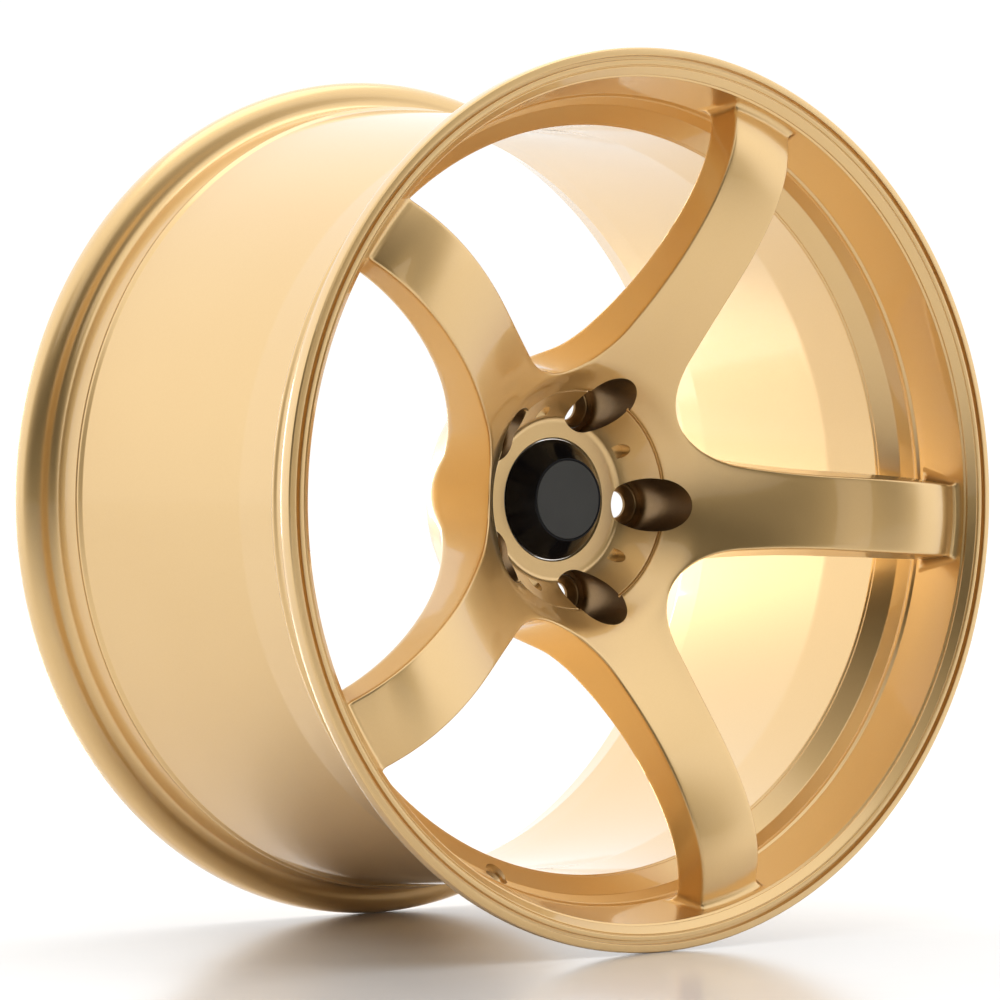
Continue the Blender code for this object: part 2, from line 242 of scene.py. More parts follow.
def ring_tree():
    """Geometry Nodes tree that turns a profile and sets copies of it on a circle round the wheel's axis."""
    known = bpy.data.node_groups.get("ring_of_turned_profiles")
    if known:
        return known
    tree, group_in, group_out = new_tree("ring_of_turned_profiles", (
        ("Segments", "NodeSocketInt"), ("Count", "NodeSocketInt"), ("Circle Radius", "NodeSocketFloat"),
        ("Turn", "NodeSocketFloat"), ("Material", "NodeSocketMaterial")))
    source = add_lathe(tree, group_in.outputs["Geometry"], group_in.outputs["Segments"])
    nodes, link = tree.nodes, tree.links.new
    circle = nodes.new("GeometryNodeMeshCircle")
    turn = nodes.new("ShaderNodeCombineXYZ")
    lay = nodes.new("GeometryNodeTransform")
    flip = nodes.new("GeometryNodeTransform")
    copies = nodes.new("GeometryNodeInstanceOnPoints")
    flip.inputs["Rotation"].default_value = (pi / 2, 0.0, 0.0)
    link(group_in.outputs["Count"], circle.inputs["Vertices"])
    link(group_in.outputs["Circle Radius"], circle.inputs["Radius"])
    link(group_in.outputs["Turn"], turn.inputs["Z"])
    link(circle.outputs["Mesh"], lay.inputs["Geometry"])
    link(turn.outputs["Vector"], lay.inputs["Rotation"])
    link(lay.outputs["Geometry"], flip.inputs["Geometry"])
    link(flip.outputs["Geometry"], copies.inputs["Points"])
    link(source, copies.inputs["Instance"])
    finish_tree(tree, copies.outputs["Instances"], group_in, group_out)
    return tree


def evaluated(name, mesh, tree, values):
    """A plain-mesh object: the mesh passed through a Geometry Nodes tree with its inputs set by name."""
    carrier = bpy.data.objects.new(name + "_outline", mesh)
    bpy.context.scene.collection.objects.link(carrier)
    modifier = carrier.modifiers.new("nodes", "NODES")
    modifier.node_group = tree
    for item in tree.interface.items_tree:
        if item.item_type == "SOCKET" and item.in_out == "INPUT" and values.get(item.name) is not None:
            modifier[item.identifier] = values[item.name]
    graph = bpy.context.evaluated_depsgraph_get()
    result = bpy.data.meshes.new_from_object(carrier.evaluated_get(graph), depsgraph=graph)
    bpy.data.objects.remove(carrier, do_unlink=True)
    bpy.data.meshes.remove(mesh)
    result.name = name
    finish = values.get("Material")
    result.materials.clear()
    if finish:
        result.materials.append(finish)
    result.polygons.foreach_set("material_index", [0] * len(result.polygons))
    made = bpy.data.objects.new(name, result)
    bpy.context.scene.collection.objects.link(made)
    tidy(made)
    return made


def tidy(obj, sharp=28.0):
    """Welds a mesh, points its faces outwards and shades it smooth between its real edges."""
    shape = bmesh.new()
    shape.from_mesh(obj.data)
    bmesh.ops.remove_doubles(shape, verts=shape.verts, dist=0.000002)
    bmesh.ops.dissolve_degenerate(shape, edges=shape.edges, dist=0.000001)
    bmesh.ops.recalc_face_normals(shape, faces=shape.faces)
    shape.to_mesh(obj.data)
    shape.free()
    obj.data.shade_smooth()
    obj.data.set_sharp_from_angle(angle=radians(sharp))


def outline_mesh(name, points, closed=True):
    """A profile for the lathe, from (depth, radius) points in millimetres."""
    mesh = bpy.data.meshes.new(name)
    count = len(points)
    edges = [(index, (index + 1) % count) for index in range(count if closed else count - 1)]
    mesh.from_pydata([(radius * MM - 1.0, (depth - MIDDLE) * MM, 0.0) for depth, radius in points], edges, [])
    return mesh


def turned(name, points, segments, material, closed=True):
    return evaluated(name, outline_mesh(name + "_profile", points, closed), turning_tree(),
                     {"Segments": segments, "Material": material})


def ringed(name, points, segments, circle_radius, turn, material=None, closed=True, count=5):
    return evaluated(name, outline_mesh(name + "_profile", points, closed), ring_tree(),
                     {"Segments": segments, "Count": count, "Circle Radius": circle_radius, "Turn": turn,
                      "Material": material})


def carve(obj, *drills):
    """Cuts drills out of a piece and removes them."""
    for drill in drills:
        cut = obj.modifiers.new("cut", "BOOLEAN")
        cut.operation = "DIFFERENCE"
        cut.solver = "EXACT"
        cut.object = drill
    graph = bpy.context.evaluated_depsgraph_get()
    result = bpy.data.meshes.new_from_object(obj.evaluated_get(graph), depsgraph=graph)
    result.name = obj.data.name
    if len(result.polygons) < 100:
        raise RuntimeError(f"{obj.name} was lost while it was drilled")
    obj.modifiers.clear()
    obj.data = result
    for drill in drills:
        bpy.data.objects.remove(drill, do_unlink=True)
    tidy(obj)


# ---- Finishes -----------------------------------------------------------------------------------------
def shader_group(name, inputs, outputs):
    """A shader group with named sockets; its input and output nodes are None when it is already there."""
    known = bpy.data.node_groups.get(name)
    if known:
        return known, None, None
    tree = bpy.data.node_groups.new(name, "ShaderNodeTree")
    for label, kind, value in inputs:
        socket = tree.interface.new_socket(label, in_out="INPUT", socket_type=kind)
        if value is not None:
            socket.default_value = value
    for label, kind in outputs:
        tree.interface.new_socket(label, in_out="OUTPUT", socket_type=kind)
    return tree, tree.nodes.new("NodeGroupInput"), tree.nodes.new("NodeGroupOutput")


def noise(tree, vector, scale, detail=3.0, roughness=0.5):
    node = tree.nodes.new("ShaderNodeTexNoise")
    node.inputs["Detail"].default_value = detail
    node.inputs["Roughness"].default_value = roughness
    tree.links.new(vector, node.inputs["Vector"])
    tree.links.new(scale, node.inputs["Scale"])
    return node


def reckon(tree, operation, *values, clamp=False):
    """Output of a Math node; a value is a number or another node's output."""
    node = tree.nodes.new("ShaderNodeMath")
    node.operation = operation
    node.use_clamp = clamp
    for socket, value in zip(node.inputs, values):
        if isinstance(value, (int, float)):
            socket.default_value = value
        else:
            tree.links.new(value, socket)
    return node.outputs[0]


def lacquer_group():
    """Metal flake under lacquer: slow clouds of tone, fine flakes, and a faint ripple of the coat."""
    tree, group_in, group_out = shader_group("lacquer_flake", (
        ("Vector", "NodeSocketVector", None), ("Light Tone", "NodeSocketColor", (0.8, 0.6, 0.3, 1.0)),
        ("Deep Tone", "NodeSocketColor", (0.6, 0.4, 0.15, 1.0)), ("Cloud Scale", "NodeSocketFloat", 9.0),
        ("Cloud Amount", "NodeSocketFloat", 0.3), ("Flake Scale", "NodeSocketFloat", 1500.0),
        ("Flake Amount", "NodeSocketFloat", 0.1), ("Gloss", "NodeSocketFloat", 0.3),
        ("Gloss Change", "NodeSocketFloat", 0.06)),
        (("Color", "NodeSocketColor"), ("Roughness", "NodeSocketFloat"), ("Height", "NodeSocketFloat")))
    if group_in is None:
        return tree
    sockets, link = group_in.outputs, tree.links.new
    clouds = noise(tree, sockets["Vector"], sockets["Cloud Scale"], 2.0).outputs["Fac"]
    flakes = tree.nodes.new("ShaderNodeTexVoronoi")
    link(sockets["Vector"], flakes.inputs["Vector"])
    link(sockets["Flake Scale"], flakes.inputs["Scale"])
    split = tree.nodes.new("ShaderNodeSeparateColor")
    link(flakes.outputs["Color"], split.inputs["Color"])
    thick = reckon(tree, "SUBTRACT", clouds, 0.35, clamp=True)
    cloud = reckon(tree, "MULTIPLY", thick, sockets["Cloud Amount"])
    speck = reckon(tree, "MULTIPLY", split.outputs["Red"], sockets["Flake Amount"])
    mix = tree.nodes.new("ShaderNodeMix")
    mix.data_type = "RGBA"
    link(reckon(tree, "ADD", reckon(tree, "MULTIPLY", cloud, 2.0), speck, clamp=True), mix.inputs["Factor"])
    link(sockets["Light Tone"], mix.inputs["A"])
    link(sockets["Deep Tone"], mix.inputs["B"])
    link(mix.outputs["Result"], group_out.inputs["Color"])
    change = reckon(tree, "MULTIPLY", reckon(tree, "SUBTRACT", clouds, 0.5), sockets["Gloss Change"])
    grain = reckon(tree, "MULTIPLY", reckon(tree, "SUBTRACT", split.outputs["Green"], 0.5),
                   reckon(tree, "MULTIPLY", sockets["Gloss Change"], 0.6))
    link(reckon(tree, "ADD", sockets["Gloss"], reckon(tree, "ADD", change, grain), clamp=True),
         group_out.inputs["Roughness"])
    link(reckon(tree, "ADD", reckon(tree, "MULTIPLY", clouds, 0.6),
                reckon(tree, "MULTIPLY", split.outputs["Blue"], 0.4)), group_out.inputs["Height"])
    return tree


def turning_group():
    """Fine lathe marks round the wheel's axis, broken up a little."""
    tree, group_in, group_out = shader_group("turning_marks", (
        ("Vector", "NodeSocketVector", None), ("Spacing", "NodeSocketFloat", 0.0012),
        ("Break-up", "NodeSocketFloat", 0.3)), (("Height", "NodeSocketFloat"),))
    if group_in is None:
        return tree
    sockets, link = group_in.outputs, tree.links.new
    split = tree.nodes.new("ShaderNodeSeparateXYZ")
    link(sockets["Vector"], split.inputs["Vector"])
    squares = [reckon(tree, "MULTIPLY", split.outputs[axis], split.outputs[axis]) for axis in ("X", "Z")]
    place = reckon(tree, "ADD", reckon(tree, "SQRT", reckon(tree, "ADD", *squares)), split.outputs["Y"])
    join = tree.nodes.new("ShaderNodeCombineXYZ")
    link(reckon(tree, "DIVIDE", place, sockets["Spacing"]), join.inputs["X"])
    marks = tree.nodes.new("ShaderNodeTexNoise")
    marks.inputs["Scale"].default_value = 1.0
    marks.inputs["Detail"].default_value = 2.0
    link(join.outputs["Vector"], marks.inputs["Vector"])
    patches = tree.nodes.new("ShaderNodeTexNoise")
    patches.inputs["Scale"].default_value = 14.0
    link(sockets["Vector"], patches.inputs["Vector"])
    loss = reckon(tree, "MULTIPLY", patches.outputs["Fac"], sockets["Break-up"])
    fade = reckon(tree, "SUBTRACT", 1.0, loss)
    link(reckon(tree, "MULTIPLY", marks.outputs["Fac"], fade), group_out.inputs["Height"])
    return tree


def soil_group():
    """A thin film of dust and finger marks that dulls a gloss in soft patches."""
    tree, group_in, group_out = shader_group("soft_film", (
        ("Vector", "NodeSocketVector", None), ("Scale", "NodeSocketFloat", 40.0),
        ("Gloss", "NodeSocketFloat", 0.1), ("Film", "NodeSocketFloat", 0.1)),
        (("Roughness", "NodeSocketFloat"), ("Mask", "NodeSocketFloat")))
    if group_in is None:
        return tree
    sockets, link = group_in.outputs, tree.links.new
    field = noise(tree, sockets["Vector"], sockets["Scale"], 4.0, 0.6)
    patches = reckon(tree, "SUBTRACT", field.outputs["Fac"], 0.42, clamp=True)
    mask = reckon(tree, "MULTIPLY", patches, 3.0, clamp=True)
    link(mask, group_out.inputs["Mask"])
    link(reckon(tree, "ADD", sockets["Gloss"], reckon(tree, "MULTIPLY", mask, sockets["Film"]), clamp=True),
         group_out.inputs["Roughness"])
    return tree


def blank_material(name):
    """A new material: itself, its tree, its Principled shader and its object-space place."""
    made = bpy.data.materials.new(name)
    made.use_nodes = True
    tree = made.node_tree
    shader = tree.nodes["Principled BSDF"]
    place = tree.nodes.new("ShaderNodeTexCoord")
    return made, tree, shader, place.outputs["Object"]


def use_group(tree, group, vector, **values):
    """A shader group in a material, its inputs named with _ for a space."""
    node = tree.nodes.new("ShaderNodeGroup")
    node.node_tree = group
    tree.links.new(vector, node.inputs["Vector"])
    for label, value in values.items():
        node.inputs[label.replace("_", " ")].default_value = value
    return node


def add_bump(tree, shader, height, strength, distance):
    bump = tree.nodes.new("ShaderNodeBump")
    bump.inputs["Strength"].default_value = strength
    bump.inputs["Distance"].default_value = distance
    tree.links.new(height, bump.inputs["Height"])
    tree.links.new(bump.outputs["Normal"], shader.inputs["Normal"])


def shaded(colour, share):
    return [channel * share for channel in colour]


def flaked_material(name, light, deep, bump, constants, turned_finish=0.0, **coating):
    """A material with flakes between two tones, a bump and constants on its shader's own sockets."""
    known = bpy.data.materials.get(name)
    if known:
        return known
    made, tree, shader, place = blank_material(name)
    coat = use_group(tree, lacquer_group(), place, Light_Tone=(*light, 1.0), Deep_Tone=(*deep, 1.0), **coating)
    tree.links.new(coat.outputs["Color"], shader.inputs["Base Color"])
    tree.links.new(coat.outputs["Roughness"], shader.inputs["Roughness"])
    height = coat.outputs["Height"]
    if turned_finish:
        marks = use_group(tree, turning_group(), place, Spacing=0.0011)
        height = reckon(tree, "ADD", height, reckon(tree, "MULTIPLY", marks.outputs["Height"], turned_finish))
    add_bump(tree, shader, height, *bump)
    for label, value in constants.items():
        shader.inputs[label].default_value = value
    return made


def gold_material(name, settings, turned_finish=0.0):
    return flaked_material(name, settings.gold, settings.deep_gold, (0.02, 0.00002),
                           {"Metallic": 0.92, "Coat Weight": 1.0, "Coat Roughness": 0.04, "Coat IOR": 1.62},
                           turned_finish, Cloud_Scale=7.0, Cloud_Amount=0.16, Flake_Scale=1700.0,
                           Flake_Amount=0.10, Gloss=0.33, Gloss_Change=0.05)


def pocket_shade_material(settings):
    """Painted shade: the gold lacquer darkened to brown on the walls of the bolt pockets and sleeve holes,
    where shade falls.
    """
    brown = settings.pocket_shade_brown
    return flaked_material("pocket_shade_brown", brown, shaded(brown, 0.5), (0.06, 0.0001),
                           {"Metallic": 0.9, "Coat Weight": 0.2, "Coat Roughness": 0.12}, Cloud_Scale=40.0,
                           Cloud_Amount=0.5, Flake_Scale=1700.0, Flake_Amount=0.15, Gloss=0.33,
                           Gloss_Change=0.08)


# Painted shade: the seats' gold darkened to brown where they lie deep in the bolt pockets.
def seat_shade_material(settings):
    brown = settings.seat_shade_brown
    return flaked_material("bolt_seat_alloy", brown, shaded(brown, 0.55), (0.12, 0.0003), {"Metallic": 0.95},
                           Cloud_Scale=60.0, Cloud_Amount=0.5, Flake_Scale=2500.0, Flake_Amount=0.25,
                           Gloss=0.34, Gloss_Change=0.12)


def disc_material(settings):
    charcoal = settings.disc_charcoal
    return flaked_material("disc_charcoal", shaded(charcoal, 1.25), charcoal, (0.08, 0.0002),
                           {"Specular IOR Level": 0.4}, Cloud_Scale=50.0, Cloud_Amount=0.5, Flake_Scale=3200.0,
                           Flake_Amount=0.5, Gloss=0.42, Gloss_Change=0.1)


def steel_material(settings):
    steel = settings.spring_steel
    return flaked_material("ring_spring_steel", steel, shaded(steel, 0.6), (0.1, 0.0001), {"Metallic": 1.0},
                           Cloud_Scale=120.0, Cloud_Amount=0.6, Flake_Scale=4000.0, Flake_Amount=0.2,
                           Gloss=0.28, Gloss_Change=0.1)


def cap_material(settings):
    known = bpy.data.materials.get("cap_gloss_black")
    if known:
        return known
    made, tree, shader, place = blank_material("cap_gloss_black")
    film = use_group(tree, soil_group(), place, Scale=55.0, Gloss=0.16, Film=0.08)
    mix = tree.nodes.new("ShaderNodeMix")
    mix.data_type = "RGBA"
    mix.inputs["A"].default_value = (*settings.cap_black, 1.0)
    mix.inputs["B"].default_value = (*shaded(settings.cap_black, 1.8), 1.0)
    tree.links.new(film.outputs["Mask"], mix.inputs["Factor"])
    tree.links.new(mix.outputs["Result"], shader.inputs["Base Color"])
    tree.links.new(film.outputs["Roughness"], shader.inputs["Roughness"])
    add_bump(tree, shader, film.outputs["Mask"], 0.03, 0.0002)
    shader.inputs["Specular IOR Level"].default_value = 0.14
    return made


# ---- The rim ------------------------------------------------------------------------------------------
VALVE_TURN = WHEEL_TURN + radians(252.0)
VALVE_SPOT = (229.4, 42.2)              # distance from the axis and depth, on the slope of the wall
VALVE_LEAN = radians(49.0)              # from the wheel's axis to the hole's


def arc_points(centre, radius, start, end, steps):
    """Corners without easing along an arc, with its angles in degrees."""
    turns = [radians(start + (end - start) * step / steps) for step in range(steps + 1)]
    return [(centre[0] + radius * cos(turn), centre[1] + radius * sin(turn), 0.0) for turn in turns]


def lip_wall(depth):
    """Radius of the conical inside of the front lip."""
    return 245.0 - (depth + 1.0) * (8.7 / 35.0)


def rim_outline(settings):
    """Closed cross-section of the whole rim in (depth, radius), front lip first, tyre side last."""
    top = settings.flange_radius / MM
    well = settings.well_radius / MM
    lip = [(-5.5, top, 5.2), (-5.5, top - 4.6, 0.3), (-2.6, top - 5.0, 0.25), (-2.6, top - 6.9, 0.25),
           (-5.2, top - 7.2, 0.6), (-5.1, top - 9.8, 0.6), (-4.2, top - 10.1, 0.2), (-4.2, top - 10.6, 0.2),
           (-4.9, top - 11.1, 0.4), (-1.1, top - 15.4, 0.3), (0.2, top - 15.2, 0.2), (0.9, lip_wall(0.9), 0.3)]
    wall = [(31.2, lip_wall(31.2), 0.8), (32.6, lip_wall(32.6) - 1.0, 0.9), (34.4, lip_wall(34.4) - 1.2, 0.9),
            (35.4, lip_wall(35.4) - 0.4, 0.5), (43.2, 231.4, 2.0), (51.6, well + 1.2, 0.6),
            (52.3, well + 1.25, 0.2), (53.2, well + 0.1, 0.8), (97.0, well, 40.0), (232.0, 234.0, 12.0),
            (256.0, 237.0, 8.0), (277.5, 244.2, 4.0), (281.2, 246.6, 1.5)]
    far = CREST_SPACING
    rear_lip = [(far + 5.5, top - 11.0, 1.0), (far + 5.5, top - 6.7, 0.35), (far + 4.7, top - 6.2, 0.25),
                (far + 4.7, top - 5.7, 0.25), (far + 5.5, top - 5.2, 0.3), (far + 5.5, top, 5.2)]
    tyre_face = arc_points((0.0, top - 11.5), 11.5, 90, 6, 10)
    root = arc_points((18.0, 250.2), 6.5, 190, 268, 8)
    seat = [(33.4, 242.1, 3.0), (36.6, 243.6, 2.4), (40.2, 241.7, 2.4)]
    front = [*tyre_face, *root, *seat]
    drop = [(55.6, 226.0, 6.0), (95.0, 226.0, 30.0)]
    rear = [(far - depth, radius, ease) for depth, radius, ease in reversed(front)]
    tyre_side = [*front, *drop, *rear]
    return rounded([*lip, *wall, *rear_lip, *reversed(tyre_side)], 3)


class RIM_OT_skin(bpy.types.Operator):
    """Turn the whole rim, from its front lip to its rear flange, and drill the valve's hole"""
    bl_idname = "wheel_rim.skin"
    bl_label = "Rim"

    def execute(self, context):
        settings, finish = context.scene.rim_settings, context.scene.rim_finish
        gold = gold_material("gold_lacquer_rim", finish, turned_finish=0.5)
        skin = turned("rim_skin", rim_outline(settings), settings.turn_segments, gold)
        carve(skin, self.drill("valve_seat_drill", settings.valve_seat_radius / MM, -30.0, 4.6),
              self.drill("valve_drill", settings.valve_radius / MM, -30.0, 30.0))
        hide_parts(*RIM_NODES)
        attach(skin, "wheel")
        return {"FINISHED"}

    def drill(self, name, radius, inner, outer):
        """A cylinder square to the drop centre's slope, between two distances from its inner face."""
        mesh = bpy.data.meshes.new(name)
        shape = bmesh.new()
        bmesh.ops.create_cone(shape, cap_ends=True, segments=64, radius1=radius * MM, radius2=radius * MM,
                              depth=(outer - inner) * MM)
        lift = Matrix.Translation((0.0, 0.0, (inner + outer) / 2 * MM))
        outward = Vector((sin(VALVE_LEAN), cos(VALVE_LEAN), 0.0))
        aim = outward.to_track_quat("Z", "Y").to_matrix().to_4x4()
        spot = Matrix.Translation((VALVE_SPOT[0] * MM, (VALVE_SPOT[1] - MIDDLE) * MM, 0.0))
        swing = Matrix.Rotation(-VALVE_TURN, 4, "Y")
        bmesh.ops.transform(shape, matrix=swing @ spot @ aim @ lift, verts=shape.verts)
        shape.to_mesh(mesh)
        shape.free()
        made = bpy.data.objects.new(name, mesh)
        bpy.context.scene.collection.objects.link(made)
        return made


# ---- The centre ---------------------------------------------------------------------------------------
FACE_CURVE = ((68, 64.3), (215.5, -53.8), (241.3, 21.1), (250, 7.1))
BACK_CURVE = ((82, 109.1), (84, 78.6), (198.5, -25.1), (250, 38.8))
HUB_BACK = 115.7
CORNER = (130.3 * cos(radians(36.0)), 130.3 * sin(radians(36.0)))
ARC_END = radians(263.1)
SIDE_START = 99.15
TAPER_END = 150.0
TAPER_GAIN = 3.08
STEP_RADIUS = 65.0
STEP_DEPTH = 70.5
CONE_SLOPE = 1.075                      # of the front surface just outside the step
CONE_END = 70.0
CONE_BLEND = 16.0
CROWN_START = 84.0
CROWN_REACH = 50.0
PAD_RADIUS = 74.0
PAD_EDGE = 79.0                         # the rear surface falls away from here
PAD_FALL = 14.0                         # and joins the spokes' backs this far out
BACK_EDGE = 2.4                         # rounding of the windows' rear edges
CORNER_STEPS = 24
SIDE_STEPS = 48
BEND = 17                               # the station where a spoke's side leaves the hub
FLARE_STEPS = 8
FACE_FILLET = 6.2
BACK_FILLET = 2.2


def face_depth(radius):
    """Depth of the centre's front surface: a steep cone round the bolts, then the spokes' sweep."""
    cone = STEP_DEPTH - (radius - STEP_RADIUS) * CONE_SLOPE
    if radius < CONE_END:
        return cone
    mixed = smooth((radius - CONE_END) / CONE_BLEND)
    return cone * (1 - mixed) + along(FACE_CURVE, radius) * mixed


def back_depth(radius):
    """Depth of the centre's rear surface: the flat mounting pad, then the spokes' hollow backs."""
    if radius < PAD_EDGE:
        return HUB_BACK
    joined = PAD_EDGE + PAD_FALL
    if radius < joined:
        end = along(BACK_CURVE, joined)
        slope = (along(BACK_CURVE, joined + 0.5) - along(BACK_CURVE, joined - 0.5)) * PAD_FALL
        t = (radius - PAD_EDGE) / PAD_FALL
        return ((2 * t ** 3 - 3 * t ** 2 + 1) * HUB_BACK + (3 * t ** 2 - 2 * t ** 3) * end
                + (t ** 3 - t ** 2) * slope)
    return along(BACK_CURVE, radius)


class SpokeSection:
    """One station across half a spoke, from the middle of its face to the middle of its back."""

    def __init__(self, settings, kind, value):
        self.kind, self.value = kind, value
        self.corner_radius = settings.corner_radius / MM
        self.base_width = settings.half_width / MM
        self.draft = tan(settings.draft)
        self.edge = settings.edge / MM
        self.crown = settings.crown / MM
        self.front = 20.0
        for _ in range(12):
            radius = hypot(*self.wall(self.front)[0])
            self.front = face_depth(radius) + self.swell(radius) - self.rise(self.front, FACE_FILLET)

    def swell(self, radius):
        """How far a spoke's face falls away at its edge."""
        return self.crown * smooth((radius - CROWN_START) / CROWN_REACH)

    def half_width(self, distance):
        """Half the width of a spoke's face, which widens towards the hub."""
        taper = min(max((TAPER_END - distance) / (TAPER_END - SIDE_START), 0.0), 1.0)
        return self.base_width + TAPER_GAIN * taper ** 2

    def fillet(self, depth):
        """Radius of the fillet where a spoke's side runs into the rim."""
        return 3.6 + 3.4 * min(max((depth - 8.0) / 22.0, 0.0), 1.0)

    def rise(self, depth, size):
        """How far the fillet lifts a spoke's face or back close to the rim."""
        gap = self.gap(depth)
        return size - sqrt(max(size ** 2 - max(size - gap, 0.0) ** 2, 0.0)) if gap < size else 0.0

    def gap(self, depth):
        """Distance to the lip's wall."""
        if self.kind == "flare":
            return self.fillet(depth) * (1 - sin(self.value))
        if self.kind == "buried":
            return -1.6
        if self.kind == "side" and self.value > 0.8:
            return lip_wall(depth) - hypot(*self.wall(depth)[0])
        return 99.0

    def wall(self, depth):
        """Place (along, across) of the window's wall at a depth, and its direction into the window."""
        grow = self.draft * (depth - self.front)
        if self.kind == "corner":
            aim = (-cos(self.value), -sin(self.value))
            reach = grow - self.corner_radius
            return (CORNER[0] + aim[0] * reach, CORNER[1] + aim[1] * reach), aim
        size = self.fillet(depth)
        gap, flare, share = size, 0.0, 1.0
        if self.kind == "side":
            share = self.value
        elif self.kind == "flare":
            gap, flare = self.gap(depth), size * (1 - cos(self.value))
        else:
            gap, flare = self.gap(depth), size
        limit = lip_wall(depth) - gap
        distance = 200.0
        for _ in range(4):
            across = self.half_width(distance) + grow + flare
            distance = SIDE_START + (sqrt(limit ** 2 - across ** 2) - SIDE_START) * share
        across = self.half_width(distance) + grow + flare
        return (distance, across), (0.0, 1.0)

    def back(self):
        """Depth where the window's wall meets the rear surface."""
        low, high = self.front + 3.0, HUB_BACK
        for _ in range(40):
            middle = (low + high) / 2
            if middle < back_depth(hypot(*self.wall(middle)[0])) + self.rise(middle, BACK_FILLET):
                low = middle
            else:
                high = middle
        return low


def section_points(station, front_spine, back_spine, counts):
    """Points (along, across, depth) of half a section, from the face's middle round to the back's middle."""
    across_face, round_steps, wall_steps, across_back = counts
    edge = station.edge
    points = []

    def surface(spine, target, steps, depth_at, reverse=False):
        """A row of points on the front or the rear surface, from its spine to the window's edge."""
        spine_radius, spine_turn = hypot(*spine), atan2(spine[1], spine[0])
        radius, turn = hypot(*target), atan2(target[1], target[0])
        row = []
        for step in range(steps + 1):
            share = step / steps
            here = spine_radius + (radius - spine_radius) * share
            angle = spine_turn + (turn - spine_turn) * share
            row.append((here * cos(angle), here * sin(angle), depth_at(here, share)))
        return row[::-1] if reverse else row

    corner, aim = station.wall(station.front)
    inner = (corner[0] - aim[0] * edge, corner[1] - aim[1] * edge)
    swell = station.swell(hypot(*corner))
    lift = station.rise(station.front, FACE_FILLET)
    face = surface(front_spine, inner, across_face,
                   lambda radius, share: face_depth(radius) + swell * share ** 2 - lift)
    points += face
    knee = (*corner, station.front)
    after = station.front + edge * 1.2
    exit_place = station.wall(after)[0]
    for step in range(1, round_steps + 1):
        t = step / round_steps
        points.append(tuple((1 - t) ** 2 * a + 2 * t * (1 - t) * b + t * t * c
                            for a, b, c in zip(face[-1], knee, (*exit_place, after))))
    end = station.back()
    before = end - BACK_EDGE
    for step in range(1, wall_steps + 1):
        depth = after + (before - after) * step / wall_steps
        points.append((*station.wall(depth)[0], depth))
    knee_place = station.wall(end)[0]
    drop = station.rise(end, BACK_FILLET)
    back_inner = (knee_place[0] - aim[0] * BACK_EDGE, knee_place[1] - aim[1] * BACK_EDGE)
    row = surface(back_spine, back_inner, across_back, lambda radius, share: back_depth(radius) + drop, True)
    for step in range(1, round_steps + 1):
        t = step / round_steps
        points.append(tuple((1 - t) ** 2 * a + 2 * t * (1 - t) * b + t * t * c
                            for a, b, c in zip(points[-step], (*knee_place, end), row[0])))
    return points + row[1:]


def hub_loop():
    """The hub's inside (depth, radius): from its mounting pad through the bore and the bowl to the step."""
    corners = [(HUB_BACK, PAD_RADIUS, 0.0), (HUB_BACK, 60.0, 0.0), (HUB_BACK, 48.0, 0.0),
               (HUB_BACK, 36.9, 0.0), (HUB_BACK - 0.6, 36.3, 0.0), (106.0, 36.3, 0.0), (97.3, 36.3, 0.0),
               (96.5, 37.1, 0.0),
               (96.5, 41.5, 0.0), (96.5, 48.26, 4.5), (85.0, 56.36, 0.0), (76.0, 62.7, 0.0),
               (73.6, 64.40, 0.25), (73.9, 65.9, 0.2), (72.2, 66.3, 0.2), (71.2, 64.75, 0.25),
               (STEP_DEPTH, STEP_RADIUS, 0.0)]
    return rounded(corners, 5)


